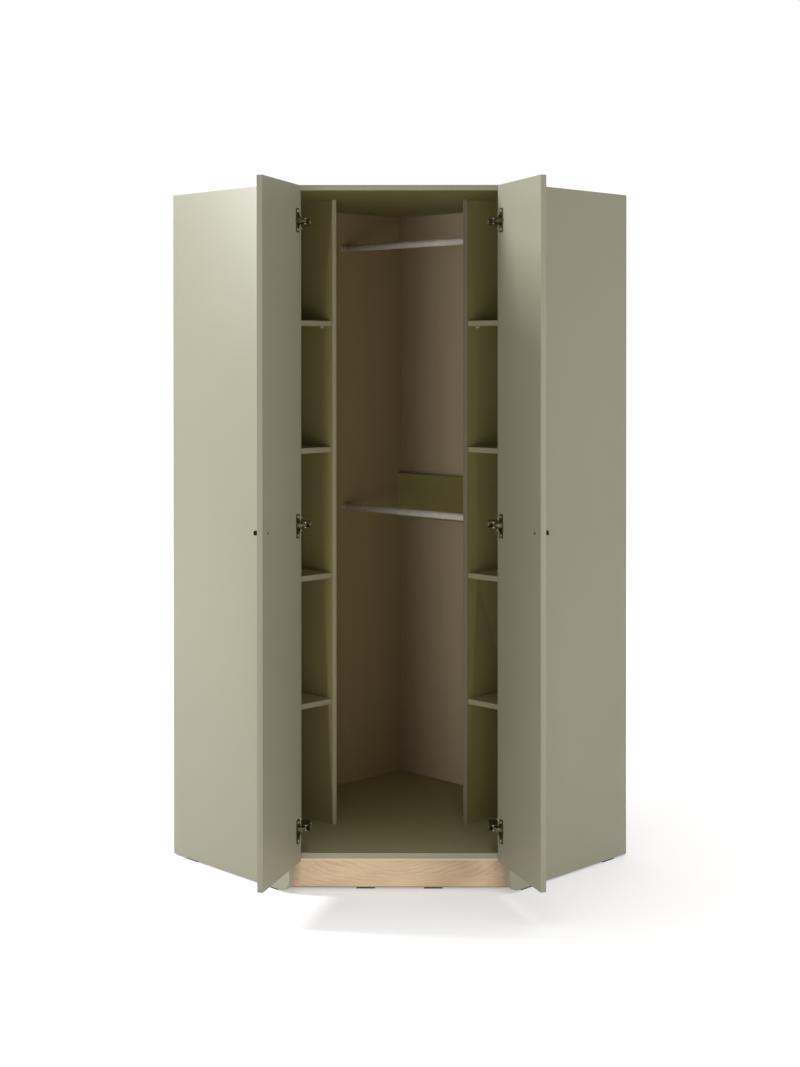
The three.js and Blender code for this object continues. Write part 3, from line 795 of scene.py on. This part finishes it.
def subtract(mesh, cutter):
    """One mesh with another cut out of it."""
    kept = link_new("kept", mesh)
    tool = link_new("cutter", cutter)
    modifier = kept.modifiers.new("cut", "BOOLEAN")
    modifier.operation = "DIFFERENCE"
    modifier.object = tool
    modifier.solver = "EXACT"
    evaluated = kept.evaluated_get(bpy.context.evaluated_depsgraph_get())
    result = bpy.data.meshes.new_from_object(evaluated)
    for item, data in ((kept, mesh), (tool, cutter)):
        bpy.data.objects.remove(item)
        bpy.data.meshes.remove(data)
    return result


def cross(radius, width):
    """The outline of a cross recess."""
    half = width / 2
    arm = [(radius, -half), (radius, half), (half, half)]
    points = []
    for quarter in range(4):
        c = math.cos(quarter * QUARTER)
        s = math.sin(quarter * QUARTER)
        points += [(c * x - s * y, s * x + c * y) for x, y in arm]
    return points


def screw_head(radius, height, matrix):
    """A low screw head with a cross recess."""
    base_top = height * SCREW_BASE
    base = lathe([(0, 0), (radius, 0), (radius, base_top), (0, base_top)], matrix, SCREW_SIDES)
    recess = cross(radius * SCREW_CROSS, radius * SCREW_CROSS_WIDTH)
    ring = plate([circle(radius), recess], height * SCREW_RIM, height * SCREW_ROUND,
                 matrix @ raised_by(base_top))
    return [base, ring]


# Hinges

def cup_outline(ear):
    """The outline of a cup's flange: a disc with two rounded ears that reach up and down."""
    near = EAR_SHIFT - EAR_WIDTH / 2
    far = EAR_SHIFT + EAR_WIDTH / 2
    right = math.atan2(math.sqrt(CUP_DISC ** 2 - far ** 2), far)
    left = math.atan2(math.sqrt(CUP_DISC ** 2 - near ** 2), near)
    far_corner = far - EAR_CORNER
    near_corner = near + EAR_CORNER
    end = ear - EAR_CORNER
    outline = arc((0.0, 0.0), CUP_DISC, -right, right)
    outline += arc((far_corner, end), EAR_CORNER, 0.0, QUARTER)
    outline += arc((near_corner, end), EAR_CORNER, QUARTER, 2 * QUARTER)
    outline += arc((0.0, 0.0), CUP_DISC, left, math.tau - left)
    outline += arc((near_corner, -end), EAR_CORNER, 2 * QUARTER, 3 * QUARTER)
    outline += arc((far_corner, -end), EAR_CORNER, 3 * QUARTER, 4 * QUARTER)
    return outline


def cup_mouth():
    """The outline of the hole in a cup's flange, open towards the hinge arm."""
    start = math.pi - math.asin(CUP_NOTCH / CUP_MOUTH)
    end = -CUP_DISC - CUP_NOTCH_OVERRUN
    return [*arc((0.0, 0.0), CUP_MOUTH, -start, start, MOUTH_STEPS), (end, CUP_NOTCH), (end, -CUP_NOTCH)]


def cup_bowl():
    """The profile of a cup's bowl, from its rim down the outside and up the inside."""
    outer, inner, rise = CUP_CHAMFER
    return [(CUP_RADIUS, CUP_TOP), (CUP_RADIUS, -CUP_DEPTH + outer), (CUP_RADIUS - outer, -CUP_DEPTH),
            (0, -CUP_DEPTH), (0, -CUP_DEPTH + CUP_FLOOR), (CUP_RADIUS - inner, -CUP_DEPTH + CUP_FLOOR),
            (CUP_RADIUS - CUP_WALL, -CUP_DEPTH + rise), (CUP_RADIUS - CUP_WALL, CUP_TOP),
            (CUP_RADIUS, CUP_TOP)]


def hinge_cup(side, height_name):
    """The cup, its flange and its screws, in the door."""
    node = f"{side}_{height_name}_hinge_cup"
    body = f"{side}_door"
    axes = hinge_axes(side, True)
    low, high = box_in(node, axes)
    z = (low.z + high.z) / 2
    ear = high.z - z
    out = axes @ facing((low.x + CUP_DISC, CUP_FACE, z), (0, 1, 0))
    # Here X runs across the door, in the direction that across gives, and Y runs along its height.
    door_x = axes.to_3x3() @ Vector((1, 0, 0))
    across = -1 if (out.to_3x3() @ Vector((1, 0, 0))).dot(door_x) < 0 else 1

    def cut(outline, *heights):
        return prism([(across * x, y) for x, y in outline], *heights, out)

    flange = subtract(cut(cup_outline(ear), 0.0, CUP_PLATE), cut(cup_mouth(), -CUP_PLATE, 2 * CUP_PLATE))
    way = box_outline(-CUP_DISC, -CUP_WAY, -CUP_WAY_HALF, CUP_WAY_HALF)
    bowl = subtract(lathe(cup_bowl(), out), cut(way, *CUP_WAY_HEIGHTS))
    heads = []
    for end in (-1, 1):
        place = out @ Matrix.Translation((across * EAR_SHIFT, end * (ear - EAR_SCREW), EAR_SCREW_SEAT))
        heads += screw_head(HEAD_RADIUS, EAR_SCREW_HEIGHT, place)
    finish_piece(f"{node}_plate", [flange], body, nickel, (node,), METAL_ROUND)
    finish_piece(f"{node}_bowl", [bowl], body, nickel)
    finish_piece(f"{node}_screws", heads, body, screw_steel)


def arm_shell(at, base_x, top, front, back):
    """The folded arm: a channel with a rounded nose and a slot for its screws."""
    foot = base_x + MOUNT_THICKNESS
    bend = ARM_NOSE * ARM_NOSE_BEND
    outline = [(foot, front + ARM_TOE), (foot + ARM_TOE, front), (top - ARM_NOSE, front),
               (top - ARM_NOSE_TOP, front + bend), (top, front + ARM_NOSE), (top, back - ARM_NOSE),
               (top - ARM_NOSE_TOP, back - bend), (top - ARM_NOSE, back), (foot, back)]
    hollow = box_outline(base_x, top - ARM_SHEET, front - ARM_NOSE, back - 2 * ARM_NOSE)
    slot = box_outline(*SLOT_X, -SLOT_HALF, SLOT_HALF)
    slot_place = at @ facing((top, (front + back) / 2, 0), (1, 0, 0), (0, 1, 0))
    shell = prism(outline, -ARM_HALF, ARM_HALF, at)
    shell = subtract(shell, prism(hollow, ARM_SHEET - ARM_HALF, ARM_HALF - ARM_SHEET, at))
    return subtract(shell, prism(slot, *SLOT_CUT, slot_place))


def arm_links(at, end):
    """The neck that comes out of the cup and the knee that joins it to the arm."""
    inner, outer = NECK_X
    near, far = NECK_Y
    neck = [(0, near), (outer, near), (outer, end), (inner, end), (inner, far), (0, far)]
    start, inner, outer = KNEE_X
    heel, start_back, toe, toe_back = KNEE_Y
    knee = [(start, heel), (outer, toe), (outer, end), (inner, end), (inner, toe_back), (start, start_back)]
    return [prism(neck, -NECK_HALF, NECK_HALF, at), prism(knee, -KNEE_HALF, KNEE_HALF, at)]


def arm_barrel(at):
    (pin, pin_end), (sleeve, sleeve_end) = BARREL
    profile = [(0, -pin_end), (pin, -pin_end), (pin, -sleeve_end), (sleeve, -sleeve_end),
               (sleeve, sleeve_end), (pin, sleeve_end), (pin, pin_end), (0, pin_end)]
    return lathe(profile, at, SCREW_SIDES)


def mount_plate(place):
    """The upright plate under the arm, with cut corners."""
    wide = MOUNT_HALF_WIDTH
    tall = MOUNT_HALF_HEIGHT
    narrow = wide - MOUNT_CORNER
    short = tall - MOUNT_CORNER
    outline = [(-wide, -short), (-narrow, -tall), (narrow, -tall), (wide, -short),
               (wide, short), (narrow, tall), (-narrow, tall), (-wide, short)]
    return plate([outline], MOUNT_THICKNESS, MOUNT_ROUND, place)


def arm_screws(at, base_x, top, front, middle_y):
    """Screws in the mounting plate and on the arm, and rivets at its front end."""
    heads = []
    for end in (-1, 1):
        spot = (base_x + MOUNT_THICKNESS, middle_y, end * (MOUNT_HALF_HEIGHT - MOUNT_HALF_WIDTH))
        heads += screw_head(HEAD_RADIUS, MOUNT_SCREW_HEIGHT, at @ facing(spot, (1, 0, 0)))
    for along in ARM_SCREW_PLACES:
        place = at @ facing((top, middle_y + along, 0), (1, 0, 0))
        heads += screw_head(ARM_SCREW_RADIUS, ARM_SCREW_HEIGHT, place)
    for end in (-1, 1):
        place = at @ facing((RIVET_X, front + RIVET_BEHIND, end * RIVET_OFFSET), (0, -1, 0))
        heads.append(lathe(RIVET, place, SCREW_SIDES))
    return heads


def hinge_arm(side, height_name):
    """The arm, its links, its mounting plate and its screws, on the post."""
    hinge = f"{side}_{height_name}_hinge"
    node = f"{hinge}_arm"
    axes = hinge_axes(side, False)
    low, high = box_in(node, axes)
    post_low, post_high = box_in(f"{side}_hinge_post", axes)
    at = axes @ raised_by((low.z + high.z) / 2)
    front = post_low.y + ARM_SETBACK
    back = high.y
    top = high.x
    base_x = post_high.x + MOUNT_GAP
    middle_y = (front + back) / 2
    shell = arm_shell(at, base_x, top, front, back)
    mount = mount_plate(at @ facing((base_x, middle_y, 0), (1, 0, 0)))
    links = arm_links(at, front + ARM_NOSE)
    screws = arm_screws(at, base_x, top, front, middle_y)
    finish_piece(f"{node}_body", [shell], "carcass", nickel, (node,), ARM_ROUND)
    finish_piece(f"{hinge}_link", links, "carcass", nickel, (), METAL_ROUND)
    finish_piece(f"{hinge}_barrel", [arm_barrel(at)], "carcass", nickel)
    finish_piece(f"{hinge}_mount_plate", [mount], "carcass", nickel)
    finish_piece(f"{node}_screws", screws, "carcass", screw_steel)


# Knobs and their screws

def knob_profile(rim, length):
    """A foot, a waist that swells to the rim, a rounded rim and a faintly dished face."""
    foot = rim * KNOB_FOOT
    foot_top = foot * KNOB_FOOT_TOP
    neck = rim * KNOB_NECK
    foot_low, foot_high = KNOB_FOOT_HEIGHTS
    swell_start, swell_span = KNOB_SWELL
    profile = [(0, 0), (foot, 0), (foot, length * foot_low), (foot_top, length * foot_high)]
    for i in range(KNOB_STEPS + 1):
        t = i / KNOB_STEPS
        swollen = min(1, max(0, (t - swell_start) / swell_span))
        swell = (1 - math.cos(math.pi * swollen)) / 2
        flare = (foot_top - neck) * (1 - t) ** KNOB_FLARE
        profile.append((neck + (rim - neck) * swell + flare, length * (foot_high + KNOB_BODY * t)))
    profile += arc((rim - KNOB_RIM, length - KNOB_RIM), KNOB_RIM, 0.0, QUARTER, KNOB_RIM_STEPS)
    dish_rim, dish = KNOB_DISH
    floor = length - KNOB_DISH_DEPTH
    return profile + [(rim * dish_rim, length), (rim * dish, floor), (0, floor)]


def knob(side):
    body = f"{side}_door"
    axes = hinge_axes(side, True)
    low, high = box_in(f"{side}_knob", axes)
    centre = (low + high) / 2
    place = axes @ facing((centre.x, high.y, centre.z), (0, -1, 0))
    turned = lathe(knob_profile(high.x - centre.x, high.y - low.y), place, KNOB_SIDES)
    finish_piece(f"{side}_knob_turned", [turned], body, bronze, (f"{side}_knob",))


def knob_screw(side):
    body = f"{side}_door"
    axes = hinge_axes(side, True)
    low, high = box_in(f"{side}_knob_screw", axes)
    centre = (low + high) / 2
    head_place = axes @ facing((centre.x, high.y - EAR_SCREW_HEIGHT, centre.z), (0, 1, 0))
    head = screw_head(HEAD_RADIUS, EAR_SCREW_HEIGHT, head_place)
    reach = high.y - low.y - SHANK_SHORT
    shank_place = axes @ facing((centre.x, low.y, centre.z), (0, 1, 0))
    shank = lathe([(0, 0), (SHANK_RADIUS, 0), (SHANK_RADIUS, reach), (0, reach)], shank_place, SCREW_SIDES)
    finish_piece(f"{side}_knob_screw_steel", [*head, shank], body, nickel,
                 (f"{side}_knob_screw",))


# Shelf supports, round the pins of the partitions and side panels

def room_point(side, across, along, height):
    """A point in the room's two wall directions on one side."""
    start_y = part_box("left_side_panel")[0].y
    x = SIDES[side] * (along - across) * HALF_ROOT
    return Vector((x, (across + along) * HALF_ROOT + start_y, height))


def across_range(side, node):
    """How far a node reaches across the side compartment, least and most."""
    start_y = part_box("left_side_panel")[0].y
    corners = [vertex.co for vertex in nodes[node].data.vertices]
    places = [(corner.y - start_y - SIDES[side] * corner.x) * HALF_ROOT for corner in corners]
    return min(places), max(places)


def support_shape(place):
    """A half-round tab against the wall and a domed sleeve over its pin."""
    half = SUPPORT_WIDTH / 2
    dome = SUPPORT_PIN / 3
    tab = [(half, 0.0), (-half, 0.0), *arc((0.0, half - SUPPORT_DROP), half, math.pi, math.tau)]
    sleeve = [(0, 0), (SUPPORT_PIN, 0), (SUPPORT_PIN, SUPPORT_REACH - dome),
              (SUPPORT_PIN - dome, SUPPORT_REACH), (0, SUPPORT_REACH)]
    return [plate([tab], SUPPORT_THICKNESS, SUPPORT_THICKNESS / 4, place),
            lathe(sleeve, place @ Matrix.Translation((0, -SUPPORT_PIN, 0)), SCREW_SIDES)]


def shelf_supports(side, row):
    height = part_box(f"{side}_shelf_{row}")[0].z - SUPPORT_GAP
    walls = ((across_range(side, f"{side}_side_panel")[1] - SUPPORT_PIN_REACH, 1),
             (across_range(side, f"{side}_partition")[0] + SUPPORT_PIN_REACH, -1))
    meshes = []
    for wall, inward in walls:
        for along in SUPPORT_PLACES:
            start = room_point(side, wall, along, height)
            direction = room_point(side, wall + inward, along, height) - start
            meshes += support_shape(facing(start + direction * SUPPORT_GAP, direction))
    finish_piece(f"{side}_shelf_{row}_supports", meshes, "carcass", support_steel)


# Hanging rails

def socket_profile():
    """A socket's flange, collar and bore."""
    bore = RAIL_RADIUS + RAIL_GAP
    return [(0, 0), (SOCKET_RADIUS, 0), (SOCKET_RADIUS, SOCKET_FLANGE * SOCKET_FLANGE_EDGE),
            (SOCKET_RADIUS - SOCKET_FLANGE_CHAMFER, SOCKET_FLANGE), (SOCKET_COLLAR, SOCKET_FLANGE),
            (SOCKET_COLLAR, SOCKET_LENGTH - SOCKET_CHAMFER), (SOCKET_COLLAR - SOCKET_CHAMFER, SOCKET_LENGTH),
            (bore, SOCKET_LENGTH), (bore, SOCKET_FLANGE), (0, SOCKET_FLANGE)]


def rail(level):
    """A rail and its two sockets, between the middles of the sockets' nodes."""
    ends = []
    for end in ("left", "right"):
        low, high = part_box(f"{level}_rail_socket_{end}")
        ends.append((low + high) / 2)
    axis = (ends[1] - ends[0]).normalized()
    first = ends[0] - axis * SOCKET_LENGTH / 2
    second = ends[1] + axis * SOCKET_LENGTH / 2
    inset = SOCKET_FLANGE + RAIL_GAP
    length = (second - first).length - 2 * inset
    profile = [(0, 0), (RAIL_RADIUS - RAIL_CHAMFER, 0), (RAIL_RADIUS, RAIL_CHAMFER),
               (RAIL_RADIUS, length - RAIL_CHAMFER), (RAIL_RADIUS - RAIL_CHAMFER, length), (0, length)]
    tube = lathe(profile, facing(first + axis * inset, axis))
    finish_piece(f"{level}_hanging_rail_tube", [tube], "carcass", rail_steel,
                 (f"{level}_hanging_rail",))
    for end, place in (("left", facing(first, axis)), ("right", facing(second, -axis))):
        finish_piece(f"{level}_rail_socket_{end}_cup", [lathe(socket_profile(), place)],
                     "carcass", rail_steel, (f"{level}_rail_socket_{end}",))


def fittings():
    for side in SIDES:
        for height_name in HINGES:
            hinge_cup(side, height_name)
            hinge_arm(side, height_name)
    for side in SIDES:
        knob(side)
        knob_screw(side)
    for side in SIDES:
        for row in LOOSE_ROWS:
            shelf_supports(side, row)
    for level in RAIL_LEVELS:
        rail(level)


# Floor, lights and camera

def stage_floor():
    half = FLOOR_SIZE / 2
    mesh = bpy.data.meshes.new("studio_floor")
    corners = [(x, y, 0) for x, y in box_outline(-half, half, -half, half)]
    mesh.from_pydata(corners, [], [(0, 1, 2, 3)])
    shader = Shader("studio_floor_paint", FLOOR_ROUGHNESS)
    drift = shader.noise(shader.place, FLOOR_DRIFT, 2.0)
    shader.link(shader.tones(drift, FLOOR_COLOUR, *FLOOR_TONES), shader.surface.inputs["Base Color"])
    shader.surface.inputs["Emission Color"].default_value = WHITE
    shader.surface.inputs["Emission Strength"].default_value = FLOOR_GLOW
    mesh.materials.append(shader.material)
    link_new("studio_floor", mesh)


def area_light(name, place, target, size, power, colour):
    data = bpy.data.lights.new(name, "AREA")
    data.shape = "RECTANGLE"
    data.size, data.size_y = size
    data.energy = power
    data.color = colour
    light = link_new(name, data)
    light.matrix_world = facing(place, Vector(place) - Vector(target))


def room_air():
    """Soft light from all round and more from overhead; the camera sees plain white behind."""
    world = bpy.data.worlds.new("studio_air")
    world.use_nodes = True
    tree = world.node_tree
    tree.nodes.clear()

    def math_node(operation, first, second):
        node = tree.nodes.new("ShaderNodeMath")
        node.operation = operation
        tree.links.new(first, node.inputs[0])
        node.inputs[1].default_value = second
        return node.outputs[0]

    direction = tree.nodes.new("ShaderNodeTexCoord").outputs["Generated"]
    split = tree.nodes.new("ShaderNodeSeparateXYZ")
    tree.links.new(direction, split.inputs["Vector"])
    height = math_node("MAXIMUM", split.outputs["Z"], 0.0)
    overhead = math_node("MULTIPLY", math_node("POWER", height, OVERHEAD_SPREAD), OVERHEAD_LIGHT)
    room = tree.nodes.new("ShaderNodeBackground")
    room.inputs["Color"].default_value = (*ROOM_COLOUR, 1.0)
    tree.links.new(math_node("ADD", overhead, ROOM_LIGHT), room.inputs["Strength"])
    white = tree.nodes.new("ShaderNodeBackground")
    white.inputs["Color"].default_value = WHITE
    path = tree.nodes.new("ShaderNodeLightPath")
    choice = tree.nodes.new("ShaderNodeMixShader")
    output = tree.nodes.new("ShaderNodeOutputWorld")
    tree.links.new(path.outputs["Is Camera Ray"], choice.inputs[0])
    tree.links.new(room.outputs[0], choice.inputs[1])
    tree.links.new(white.outputs[0], choice.inputs[2])
    tree.links.new(choice.outputs[0], output.inputs["Surface"])
    bpy.context.scene.world = world


def camera():
    data = bpy.data.cameras.new("photo_camera")
    data.sensor_fit = "HORIZONTAL"
    data.sensor_width = SENSOR_WIDTH
    data.lens = FOCAL_PIXELS / PHOTO_WIDTH * SENSOR_WIDTH
    data.shift_y = (AXIS_PIXEL_Y - PHOTO_HEIGHT / 2) / PHOTO_WIDTH
    data.clip_end = FLOOR_SIZE
    item = link_new("photo_camera", data)
    item.matrix_world = (Matrix.Translation(CAMERA_PLACE) @ Matrix.Rotation(CAMERA_YAW, 4, "Z")
                         @ Matrix.Rotation(QUARTER - CAMERA_TILT, 4, "X")
                         @ Matrix.Rotation(CAMERA_ROLL, 4, "Z"))
    bpy.context.scene.camera = item


dress_boards()
fittings()
stage_floor()
room_air()
bpy.context.scene.view_settings.view_transform = "Standard"
for light_name, values in LIGHTS.items():
    area_light(light_name, *values)
camera()
